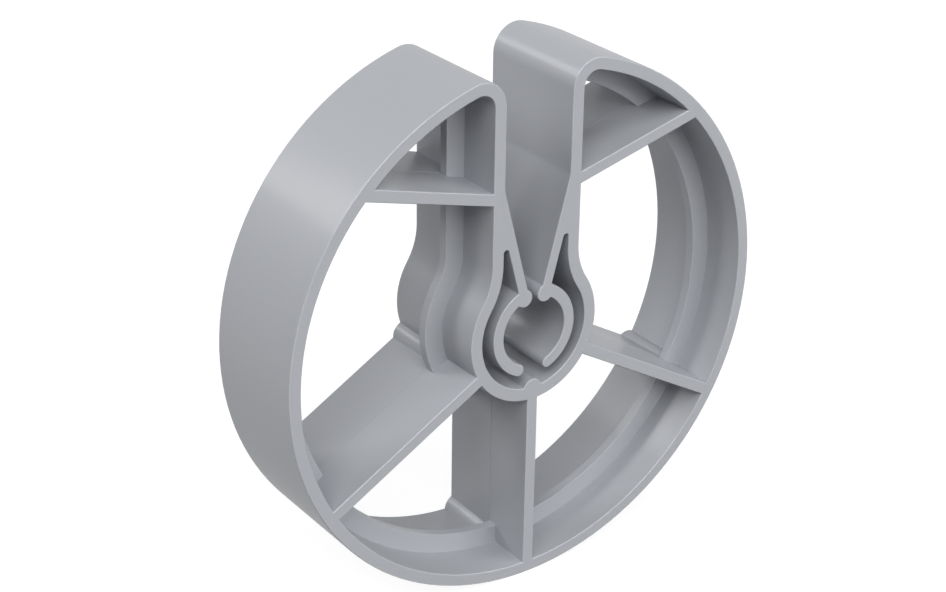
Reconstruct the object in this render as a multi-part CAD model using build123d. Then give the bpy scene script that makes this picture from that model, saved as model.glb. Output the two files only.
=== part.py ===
from build123d import *
import math
import os

# Rebar spacer wheel, moulded in one piece. Sizes are in millimetres, angles in degrees.
# It is drawn lying flat, front face up, and is then stood on its rim: the axis becomes Y,
# the front face looks along -Y and the mouth opens along +Z. The origin is on the axis,
# at the centre of the bar's seat and halfway through the width.

# Rim
outer_radius = 30.0
width = 14.1
rim_wall = 1.41
rear_rim_wall = 1.57

# Mouth in the rim and the straight slot below it
slot_width = 8.3
slot_wall = 1.45
mouth_radius = 3.0

# Funnel: two springy legs that lean in and end in a pair of beads
funnel_angle = 15.0
funnel_blend = 3.0
leg_wall = 1.2
slit_radius = 0.31
throat_gap = 0.66
bead_radius = 1.0
bead_rise = 0.32

# Seat of the bar: two curved arms that hang inside the hub ring, and the stop below them
seat_radius = 3.95
arm_wall = 1.36
arm_tip_angle = 24.3
spring_gap = 1.37
hub_wall = 1.48
waist_blend = 7.5
stop_radius = 1.2
stop_rise = 0.95

# Spokes below the hub, and a rising bar at each side of the slot
spoke_wall = 1.38
spoke_angles = (210, 270, 330)
bar_wall = 1.34
bar_rise_angle = 15.0
bar_drop = 0.9

# Fin that runs round the inside of the windows. Its back is on the mould's parting plane,
# which lies this far in front of the middle of the width.
fin_height = 2.28
fin_wall = 1.16
fin_bevel = 0.05
parting_rise = 0.73

# Ejector bosses behind the fin, at the rim end of each spoke and the hub end of these two
boss_radius = 1.6
hub_boss_angles = (210, 330)

# Draft of the moulded windows, rounding of the outline's corners and bevel of the face edges
draft_angle = 1.0
corner_radius = 0.2
edge_bevel = 0.12

# Sine of the least turn at which two edges count as a corner
least_turn = 0.05

half_width = width / 2
slot_half = slot_width / 2
column_half = slot_half + slot_wall
arm_outer = seat_radius + arm_wall
arm_middle = seat_radius + arm_wall / 2
hub_inner = arm_outer + spring_gap
hub_outer = hub_inner + hub_wall
bead_x = throat_gap / 2 + bead_radius
bead_y = math.sqrt((seat_radius + bead_rise) ** 2 - bead_x**2)
funnel_lean = math.tan(math.radians(funnel_angle))
leg_half = leg_wall / 2 / math.cos(math.radians(funnel_angle))
funnel_top = bead_y + (slot_half - bead_x + leg_half) / funnel_lean
slit_top = bead_y + (slot_half - bead_x - leg_half) / funnel_lean
bar_root = funnel_top - bar_drop
waist_top = math.sqrt((hub_outer + waist_blend) ** 2 - (column_half + waist_blend) ** 2)


def polar(radius, angle):
    return (radius * math.cos(math.radians(angle)), radius * math.sin(math.radians(angle)))


def both_sides(shape):
    """A shape and its mirror image across the middle of the slot."""
    return shape + mirror(shape, about=Plane.YZ)


def strip(start, angle, length, thickness):
    """A straight strip that runs from a point at an angle."""
    return Pos(*start) * Rot(0, 0, angle) * Pos(length / 2, 0) * Rectangle(length, thickness)


def disc(radius):
    """A disc about the axis, whose edge starts at the bottom spoke and not inside a window."""
    return Rot(0, 0, -90) * Circle(radius)


def corners(sketch, x, y):
    """The sketch's corner at x, y and its mirror image."""
    return [v for v in sketch.vertices() if abs(abs(v.X) - x) < 0.01 and abs(v.Y - y) < 0.01]


def sharp_corners(sketch):
    """The corners where two edges meet at an angle, each with the length of its shorter edge."""
    meeting = {}
    for edge in sketch.edges():
        for end in (0, 1):
            place = edge @ end
            meeting.setdefault((round(place.X, 4), round(place.Y, 4)), []).append((edge, edge % end))
    found = []
    for corner in sketch.vertices():
        (first, tangent), (second, other) = meeting[(round(corner.X, 4), round(corner.Y, 4))]
        if tangent.cross(other).length > least_turn:
            found.append((corner, min(first.length, second.length)))
    return found


def round_corners(sketch, radius):
    """Rounds the sharp corners, and those on a very short edge only as far as the edge allows."""
    sketch = fillet([corner for corner, room in sharp_corners(sketch) if room > 2 * radius], radius)
    tight = sharp_corners(sketch)
    if tight:
        sketch = fillet([corner for corner, room in tight], min(room for corner, room in tight) / 3)
    return sketch


def column_and_hub(half, ring, blend):
    """The column round the slot and the round hub as one filled outline, blended at the waist."""
    blend_x = half + blend
    blend_y = math.sqrt((ring + blend) ** 2 - blend_x**2)
    column = Pos(0, outer_radius / 2) * Rectangle(2 * half, outer_radius)
    waist = Polygon((0, 0), (blend_x, blend_y), (0, blend_y), align=None)
    waist -= Pos(blend_x, blend_y) * Circle(blend)
    return disc(ring) + column + both_sides(waist)


def round_mouth(sketch, radius, half, fillet_radius):
    """Rounds the corners where the rim turns down at the sides of the mouth."""
    return fillet(corners(sketch, half, math.sqrt(radius**2 - half**2)), fillet_radius)


def opening(wall, inset):
    """The space inside a rim of this wall and outside the column, set this far in from both."""
    radius = outer_radius - wall - inset
    half = column_half + inset
    shape = disc(radius) - column_and_hub(half, hub_outer + inset, waist_blend - inset)
    return round_mouth(shape, radius, half, max(mouth_radius - wall - inset, corner_radius))


def spokes():
    """Three spokes under the hub and the two bars beside the slot."""
    hub_middle = hub_outer - hub_wall / 2
    rim_middle = outer_radius - rim_wall / 2
    length = rim_middle - hub_middle
    lower = [strip(polar(hub_middle, angle), angle, length, spoke_wall) for angle in spoke_angles]
    bar = strip((slot_half + slot_wall / 2, bar_root), bar_rise_angle, outer_radius, bar_wall)
    return Sketch() + lower + both_sides(bar & disc(rim_middle))


def bosses():
    """The ejector bosses, centred where the spokes meet the hub's and the rim's inner walls."""
    length = half_width + parting_rise
    pin = Pos(0, 0, parting_rise - length / 2) * Cylinder(boss_radius, length)
    pin = chamfer(pin.edges().sort_by(Axis.Z)[0], edge_bevel)
    hub_seats = [polar(hub_outer, angle) for angle in hub_boss_angles]
    rim_seats = [polar(outer_radius - rear_rim_wall, angle) for angle in spoke_angles]
    inner_side = Pos(0, 0, parting_rise) * extrude(opening(rim_wall, -hub_wall / 2), -length)
    return Part() + [Pos(*seat) * pin for seat in hub_seats + rim_seats] & inner_side


def clip():
    """Legs, beads, arms and stop, drawn on into the walls that carry them."""
    leg = strip((bead_x, bead_y), 90 - funnel_angle, 2 * (funnel_top - bead_y), leg_wall)
    bead = Pos(bead_x, bead_y) * Circle(bead_radius)
    reach = 2 * arm_outer
    to_tip = polar(reach, arm_tip_angle - 90)
    to_bead = polar(reach, math.degrees(math.atan2(bead_y, bead_x)))
    sector = Polygon((0, 0), to_tip, (reach, -reach), (reach, reach), to_bead, align=None)
    arm = (disc(arm_outer) - disc(seat_radius)) & sector
    tip = Pos(*polar(arm_middle, arm_tip_angle - 90)) * Circle(arm_wall / 2)
    stop = Pos(0, stop_rise - stop_radius - hub_inner) * Circle(stop_radius)
    return both_sides(leg + bead + arm + tip) + stop


def outline():
    """The wheel's section across the axis, with its windows still closed."""
    cavity = column_and_hub(slot_half, hub_inner, waist_blend + hub_wall)
    walls = round_mouth(disc(outer_radius) - cavity, outer_radius, slot_half, mouth_radius)
    section = walls + (clip() & cavity)
    slit_room = (slit_top - waist_top) * math.tan(math.radians(funnel_angle / 2))
    section = fillet(corners(section, slot_half, slit_top), min(slit_radius, 0.9 * slit_room))
    section = fillet(corners(section, slot_half, funnel_top), funnel_blend)
    return round_corners(section, corner_radius)


def fin():
    """The band that stands out from the walls of the windows and passes through the spokes."""
    band = extrude(opening(rim_wall, -rim_wall / 3) - opening(rim_wall, fin_height), fin_wall)
    crest = band.faces().filter_by(Axis.Z).sort_by(Axis.Z)
    crest_wires = crest[0].inner_wires() + crest[-1].inner_wires()
    return Pos(0, 0, parting_rise) * chamfer([edge for wire in crest_wires for edge in wire.edges()], fin_bevel)


def cut_windows(body, wall, side):
    """Opens one side of the windows: drafted to the parting plane and flared at the face."""
    depth = half_width - side * parting_rise
    for window in (opening(wall, 0) - spokes()).faces():
        seated = Pos(0, 0, side * half_width) * window
        flare = offset(seated, edge_bevel, kind=Kind.INTERSECTION)
        body -= extrude(seated, -side * depth, taper=draft_angle)
        body -= extrude(flare, -side * 2 * edge_bevel, taper=45)
    return body


def wheel():
    """The finished wheel lying flat, with the middle of its width at z = 0."""
    body = extrude(outline(), half_width, both=True)
    body = cut_windows(body, rim_wall, 1)
    body = cut_windows(body, rear_rim_wall, -1)
    body += bosses()
    body += fin()
    flat = body.faces().filter_by(Axis.Z).sort_by(Axis.Z)
    return chamfer(flat[0].outer_wire().edges() + flat[-1].outer_wire().edges(), edge_bevel)


def main():
    os.makedirs("parts", exist_ok=True)
    export_step(Rot(90, 0, 0) * wheel(), "parts/spacer_wheel.step")


main()
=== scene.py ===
# Rebar spacer wheel in light grey moulded plastic, on a pale studio floor.
# Lengths are in metres unless a value says otherwise.
import math

import bpy
from mathutils import Matrix, Vector


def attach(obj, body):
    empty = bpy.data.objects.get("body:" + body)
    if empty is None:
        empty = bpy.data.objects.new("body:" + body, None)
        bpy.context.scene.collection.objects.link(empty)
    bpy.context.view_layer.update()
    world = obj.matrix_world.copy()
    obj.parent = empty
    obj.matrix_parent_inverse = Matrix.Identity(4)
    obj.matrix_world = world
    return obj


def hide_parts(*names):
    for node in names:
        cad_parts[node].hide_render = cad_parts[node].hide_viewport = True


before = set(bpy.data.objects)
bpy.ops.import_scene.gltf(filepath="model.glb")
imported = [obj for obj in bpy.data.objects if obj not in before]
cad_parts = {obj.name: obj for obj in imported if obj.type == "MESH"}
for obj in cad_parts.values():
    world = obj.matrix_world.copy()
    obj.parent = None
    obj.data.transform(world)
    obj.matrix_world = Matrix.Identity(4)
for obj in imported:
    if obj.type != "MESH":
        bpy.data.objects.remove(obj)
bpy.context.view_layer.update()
print("frame loaded")


def deselectAll():
    if bpy.context.object and bpy.context.object.mode != "OBJECT":
        bpy.ops.object.mode_set(mode="OBJECT")
    bpy.ops.object.select_all(action="DESELECT")


def pick(piece):
    deselectAll()
    piece.select_set(True)
    bpy.context.view_layer.objects.active = piece


def addMath(nodes, operation, socket=None, value=None):
    # a math node, with a fixed value in one socket where it has one
    node = nodes.new("ShaderNodeMath")
    node.operation = operation
    if socket is not None:
        node.inputs[socket].default_value = value
    return node


# Camera: where the photograph was taken from
cameraView = {
    "place": (-0.120161, -0.163423, 0.098638),
    "azimuth": -35.6394,  # degrees, 0 looks along +Y
    "elevation": 25.6534,
    "roll": 0.8397,
    "lens": 79.541,  # mm
    "sensor": 36,  # mm
    "nearest": 0.01,
    "farthest": 20,
}


def makeCamera(values):
    azimuth = math.radians(values["azimuth"])
    elevation = math.radians(values["elevation"])
    back = Vector((
        math.sin(azimuth) * math.cos(elevation),
        -math.cos(azimuth) * math.cos(elevation),
        math.sin(elevation),
    ))
    right = Vector((math.cos(azimuth), math.sin(azimuth), 0))
    up = back.cross(right)
    roll = Matrix.Rotation(math.radians(values["roll"]), 3, "Z")
    turn = Matrix((right, up, back)).transposed() @ roll
    bpy.ops.object.camera_add(location=values["place"])
    camera = bpy.context.object
    camera.name = "photoCamera"
    camera.rotation_euler = turn.to_euler()
    camera.data.lens = values["lens"]
    camera.data.sensor_width = values["sensor"]
    camera.data.clip_start = values["nearest"]
    camera.data.clip_end = values["farthest"]
    bpy.context.scene.camera = camera


makeCamera(cameraView)
print("camera placed")


# Wheel: the frame's own shape, merged and smoothed so that its bevels shade as rounded edges
wheelShape = {
    "mergeDistance": 0.0000005,
    "smoothAngle": 50,  # degrees
    "flatLeast": 0.999,  # a face this square to the axis stays flat
    "bevelLeast": 0.5,  # a face between this and flatLeast is a bevel and rounds over
    "partingPlace": -0.00073,  # where the two halves of the mould met, along Y
    "partingWidth": 0.00002,  # how near to the parting plane an edge lies to stay crisp
    "partingAngle": 1.0,  # degrees, the least turn there that stays crisp
}


def makeWheel(values):
    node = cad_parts["spacer_wheel"]
    piece = bpy.data.objects.new("mouldedWheel", node.data.copy())
    bpy.context.scene.collection.objects.link(piece)
    pick(piece)
    if piece.data.has_custom_normals:
        bpy.ops.mesh.customdata_custom_splitnormals_clear()
    bpy.ops.object.mode_set(mode="EDIT")
    bpy.ops.mesh.select_all(action="SELECT")
    bpy.ops.mesh.remove_doubles(threshold=values["mergeDistance"])
    bpy.ops.mesh.select_all(action="DESELECT")
    bpy.ops.object.mode_set(mode="OBJECT")
    bpy.ops.object.shade_smooth_by_angle(angle=math.radians(values["smoothAngle"]))
    keepPartingLine(piece, values)
    # the flat faces hold their normals, and the bevels take theirs from the faces beside them
    rankFaces(piece, values["flatLeast"], 1, "STRONG")
    rankFaces(piece, 0, values["bevelLeast"], "MEDIUM")
    rankFaces(piece, values["bevelLeast"], values["flatLeast"], "WEAK")
    markEdges(piece, values["bevelLeast"], values["flatLeast"])
    normals = piece.modifiers.new("faceWeight", "WEIGHTED_NORMAL")
    normals.mode = "CORNER_ANGLE"
    normals.keep_sharp = True
    normals.use_face_influence = True
    bpy.ops.object.modifier_apply(modifier=normals.name)
    return piece


def rankFaces(piece, least, most, strength):
    pick(piece)
    for face in piece.data.polygons:
        face.select = least <= min(abs(face.normal.y), 1) <= most
    bpy.ops.object.mode_set(mode="EDIT")
    bpy.ops.mesh.select_mode(type="FACE")
    bpy.ops.mesh.mod_weighted_strength(set=True, face_strength=strength)
    bpy.ops.mesh.select_all(action="DESELECT")
    bpy.ops.object.mode_set(mode="OBJECT")


def markEdges(piece, least, most):
    # 1 on the bevels, for the plastic's smoother edges and its painted edge highlight
    mask = piece.data.attributes.new("edgeMask", "FLOAT", "FACE")
    for face in piece.data.polygons:
        mask.data[face.index].value = 1.0 if least < abs(face.normal.y) < most else 0.0


def keepPartingLine(piece, values):
    # the walls turn only slightly at the parting plane, too little for the smooth angle to see
    mesh = piece.data
    faces = {}
    for face in mesh.polygons:
        for key in face.edge_keys:
            faces.setdefault(key, []).append(face)
    alike = math.cos(math.radians(values["partingAngle"]))
    for edge in mesh.edges:
        offPlane = [abs(mesh.vertices[v].co.y - values["partingPlace"]) for v in edge.vertices]
        first, last = faces[edge.key][0], faces[edge.key][-1]
        if max(offPlane) < values["partingWidth"] and first.normal.dot(last.normal) < alike:
            edge.use_edge_sharp = True


wheel = makeWheel(wheelShape)
print("wheel shaped:", len(wheel.data.polygons), "faces")


# Plastic: light grey, satin, as it leaves the mould
plasticLook = {
    "colour": (0.405, 0.418, 0.446, 1),
    "roughness": 0.5,
    "ior": 1.42,
    "coat": 0.16,  # a thin smooth skin over the satin surface
    "coatRoughness": 0.17,
    "mottleSize": 0.011,  # soft flow marks in the colour
    "mottleDepth": 0.03,
    "grainSize": 0.00022,  # fine texture of the mould's steel
    "grainHeight": 0.0000035,
    "grainRoughness": 0.05,
    "edgeRoughness": 0.2,  # the edges are polished by handling
    "paintedEdgeHighlight": 0.15,  # painted highlight: the bevels are made a little paler
}


# Noise inside the grain group, the same in every material that uses it
grainNoise = {
    "mottleDetail": 3,
    "mottleRoughness": 0.45,
    "grainDetail": 2,
    "grainRoughness": 0.6,
    "middle": 0.5,  # the noise lies on both sides of this
}


def makeGrainGroup(values):
    group = bpy.data.node_groups.new("mouldGrain", "ShaderNodeTree")
    for name, way, kind in (
        ("Colour", "INPUT", "NodeSocketColor"),
        ("Mottle Scale", "INPUT", "NodeSocketFloat"),
        ("Mottle Depth", "INPUT", "NodeSocketFloat"),
        ("Grain Scale", "INPUT", "NodeSocketFloat"),
        ("Roughness", "INPUT", "NodeSocketFloat"),
        ("Grain Roughness", "INPUT", "NodeSocketFloat"),
        ("Edge", "INPUT", "NodeSocketFloat"),
        ("Edge Roughness", "INPUT", "NodeSocketFloat"),
        ("Painted Edge Highlight", "INPUT", "NodeSocketFloat"),
        ("Colour", "OUTPUT", "NodeSocketColor"),
        ("Roughness", "OUTPUT", "NodeSocketFloat"),
        ("Height", "OUTPUT", "NodeSocketFloat"),
    ):
        group.interface.new_socket(name, in_out=way, socket_type=kind)
    nodes, links = group.nodes, group.links
    given = nodes.new("NodeGroupInput")
    result = nodes.new("NodeGroupOutput")
    place = nodes.new("ShaderNodeTexCoord")
    mottle = nodes.new("ShaderNodeTexNoise")
    mottle.inputs["Detail"].default_value = values["mottleDetail"]
    mottle.inputs["Roughness"].default_value = values["mottleRoughness"]
    grain = nodes.new("ShaderNodeTexNoise")
    grain.inputs["Detail"].default_value = values["grainDetail"]
    grain.inputs["Roughness"].default_value = values["grainRoughness"]
    links.new(place.outputs["Object"], mottle.inputs["Vector"])
    links.new(place.outputs["Object"], grain.inputs["Vector"])
    links.new(given.outputs["Mottle Scale"], mottle.inputs["Scale"])
    links.new(given.outputs["Grain Scale"], grain.inputs["Scale"])

    # colour: the mottle as a factor round 1, and a painted highlight that makes the bevels
    # paler
    shade = addMath(nodes, "SUBTRACT", 1, values["middle"])
    depth = addMath(nodes, "MULTIPLY_ADD", 2, 1)
    lift = addMath(nodes, "MULTIPLY_ADD")
    tint = nodes.new("ShaderNodeVectorMath")
    tint.operation = "SCALE"
    links.new(mottle.outputs["Fac"], shade.inputs[0])
    links.new(shade.outputs[0], depth.inputs[0])
    links.new(given.outputs["Mottle Depth"], depth.inputs[1])
    links.new(given.outputs["Edge"], lift.inputs[0])
    links.new(given.outputs["Painted Edge Highlight"], lift.inputs[1])
    links.new(depth.outputs[0], lift.inputs[2])
    links.new(given.outputs["Colour"], tint.inputs[0])
    links.new(lift.outputs[0], tint.inputs["Scale"])
    links.new(tint.outputs["Vector"], result.inputs["Colour"])

    # roughness: broken up by the grain, smoother on the edges
    spread = addMath(nodes, "SUBTRACT", 1, values["middle"])
    gloss = addMath(nodes, "MULTIPLY_ADD")
    polish = nodes.new("ShaderNodeMix")  # sockets 0, 2 and 3 are its factor and its two numbers
    links.new(grain.outputs["Fac"], spread.inputs[0])
    links.new(spread.outputs[0], gloss.inputs[0])
    links.new(given.outputs["Grain Roughness"], gloss.inputs[1])
    links.new(given.outputs["Roughness"], gloss.inputs[2])
    links.new(given.outputs["Edge"], polish.inputs[0])
    links.new(gloss.outputs[0], polish.inputs[2])
    links.new(given.outputs["Edge Roughness"], polish.inputs[3])
    links.new(polish.outputs[0], result.inputs["Roughness"])

    links.new(grain.outputs["Fac"], result.inputs["Height"])
    return group


def makePlastic(values):
    material = bpy.data.materials.new("greyPlastic")
    material.use_nodes = True
    nodes, links = material.node_tree.nodes, material.node_tree.links
    shader = nodes["Principled BSDF"]
    shader.inputs["IOR"].default_value = values["ior"]
    shader.inputs["Coat Weight"].default_value = values["coat"]
    shader.inputs["Coat Roughness"].default_value = values["coatRoughness"]
    grain = nodes.new("ShaderNodeGroup")
    grain.node_tree = makeGrainGroup(grainNoise)
    for name, value in (
        ("Colour", values["colour"]),
        ("Mottle Scale", 1 / values["mottleSize"]),
        ("Mottle Depth", values["mottleDepth"]),
        ("Grain Scale", 1 / values["grainSize"]),
        ("Roughness", values["roughness"]),
        ("Grain Roughness", values["grainRoughness"]),
        ("Edge Roughness", values["edgeRoughness"]),
        ("Painted Edge Highlight", values["paintedEdgeHighlight"]),
    ):
        grain.inputs[name].default_value = value
    mask = nodes.new("ShaderNodeAttribute")
    mask.attribute_name = "edgeMask"
    links.new(mask.outputs["Fac"], grain.inputs["Edge"])
    bump = nodes.new("ShaderNodeBump")
    bump.inputs["Strength"].default_value = 1
    bump.inputs["Distance"].default_value = values["grainHeight"]
    links.new(grain.outputs["Height"], bump.inputs["Height"])
    links.new(grain.outputs["Colour"], shader.inputs["Base Color"])
    links.new(grain.outputs["Roughness"], shader.inputs["Roughness"])
    links.new(bump.outputs["Normal"], shader.inputs["Normal"])
    return material


plastic = makePlastic(plasticLook)
wheel.data.materials.clear()
wheel.data.materials.append(plastic)
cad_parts["spacer_wheel"].data.materials.clear()
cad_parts["spacer_wheel"].data.materials.append(plastic)
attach(wheel, "root")
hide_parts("spacer_wheel")
print("plastic applied")


# Studio: pale floor, white behind, soft lamps
studio = {
    "floorSize": 6.0,
    "floorHeight": -0.03,
    "floorColour": (0.2, 0.2, 0.205, 1),
    "floorGlow": 0.9,  # added to the lit floor where it is looked at, so that it shows as white
    "white": (1, 1, 1, 1),
    "skyColour": (0.5, 0.51, 0.53, 1),
    "skyStrength": 0.05,
}
# Name, azimuth from +Y towards +X and elevation in degrees, distance, width, height, watts
lamps = (
    ("keyLamp", 219, 48, 1.0, 0.80, 0.65, 6.8),
    ("fillLamp", 162, 16, 1.0, 1.0, 0.5, 5.6),
    ("backLamp", 322, 29, 1.0, 0.28, 0.36, 3.0),
    ("leftLamp", 280, 48, 1.0, 0.40, 0.40, 1.3),
    ("edgeLamp", 130, 48, 1.0, 0.32, 0.32, 1.5),
)


def seenDirectly(nodes, links):
    # 1 for a camera, glossy or transmission ray, 0 for the light that falls on the wheel
    path = nodes.new("ShaderNodeLightPath")
    opaque = addMath(nodes, "MAXIMUM")
    seen = addMath(nodes, "MAXIMUM")
    links.new(path.outputs["Is Camera Ray"], opaque.inputs[0])
    links.new(path.outputs["Is Glossy Ray"], opaque.inputs[1])
    links.new(opaque.outputs[0], seen.inputs[0])
    links.new(path.outputs["Is Transmission Ray"], seen.inputs[1])
    return seen.outputs[0]


def makeFloor(values):
    place = (0, 0, values["floorHeight"])
    bpy.ops.mesh.primitive_plane_add(size=values["floorSize"], location=place)
    floor = bpy.context.object
    floor.name = "studioFloor"
    material = bpy.data.materials.new("paleFloor")
    material.use_nodes = True
    nodes, links = material.node_tree.nodes, material.node_tree.links
    shader = nodes["Principled BSDF"]
    shader.inputs["Base Color"].default_value = values["floorColour"]
    shader.inputs["Roughness"].default_value = 1  # matt
    shader.inputs["Specular IOR Level"].default_value = 0
    shader.inputs["Emission Color"].default_value = values["white"]
    glow = addMath(nodes, "MULTIPLY", 1, values["floorGlow"])
    links.new(seenDirectly(nodes, links), glow.inputs[0])
    links.new(glow.outputs[0], shader.inputs["Emission Strength"])
    floor.data.materials.append(material)


def makeSky(values):
    world = bpy.data.worlds.new("studioSky")
    bpy.context.scene.world = world
    world.use_nodes = True
    nodes, links = world.node_tree.nodes, world.node_tree.links
    sky = nodes["Background"]
    sky.inputs["Color"].default_value = values["skyColour"]
    sky.inputs["Strength"].default_value = values["skyStrength"]
    white = nodes.new("ShaderNodeBackground")
    white.inputs["Color"].default_value = values["white"]
    white.inputs["Strength"].default_value = 1
    choose = nodes.new("ShaderNodeMixShader")
    links.new(seenDirectly(nodes, links), choose.inputs[0])
    links.new(sky.outputs[0], choose.inputs[1])
    links.new(white.outputs[0], choose.inputs[2])
    links.new(choose.outputs[0], nodes["World Output"].inputs["Surface"])


def makeLamp(name, azimuth, elevation, distance, width, height, power):
    turn, lift = math.radians(azimuth), math.radians(elevation)
    ahead = Vector((math.sin(turn), math.cos(turn), 0)) * math.cos(lift)
    place = distance * (ahead + Vector((0, 0, math.sin(lift))))
    bpy.ops.object.light_add(type="AREA", location=place)
    lamp = bpy.context.object
    lamp.name = name
    lamp.rotation_euler = place.to_track_quat("Z", "Y").to_euler()
    lamp.data.shape = "RECTANGLE"
    lamp.data.size = width
    lamp.data.size_y = height
    lamp.data.energy = power


deselectAll()
makeFloor(studio)
makeSky(studio)
for lamp in lamps:
    makeLamp(*lamp)
bpy.context.scene.view_settings.view_transform = "Standard"
print("studio lit")

deselectAll()
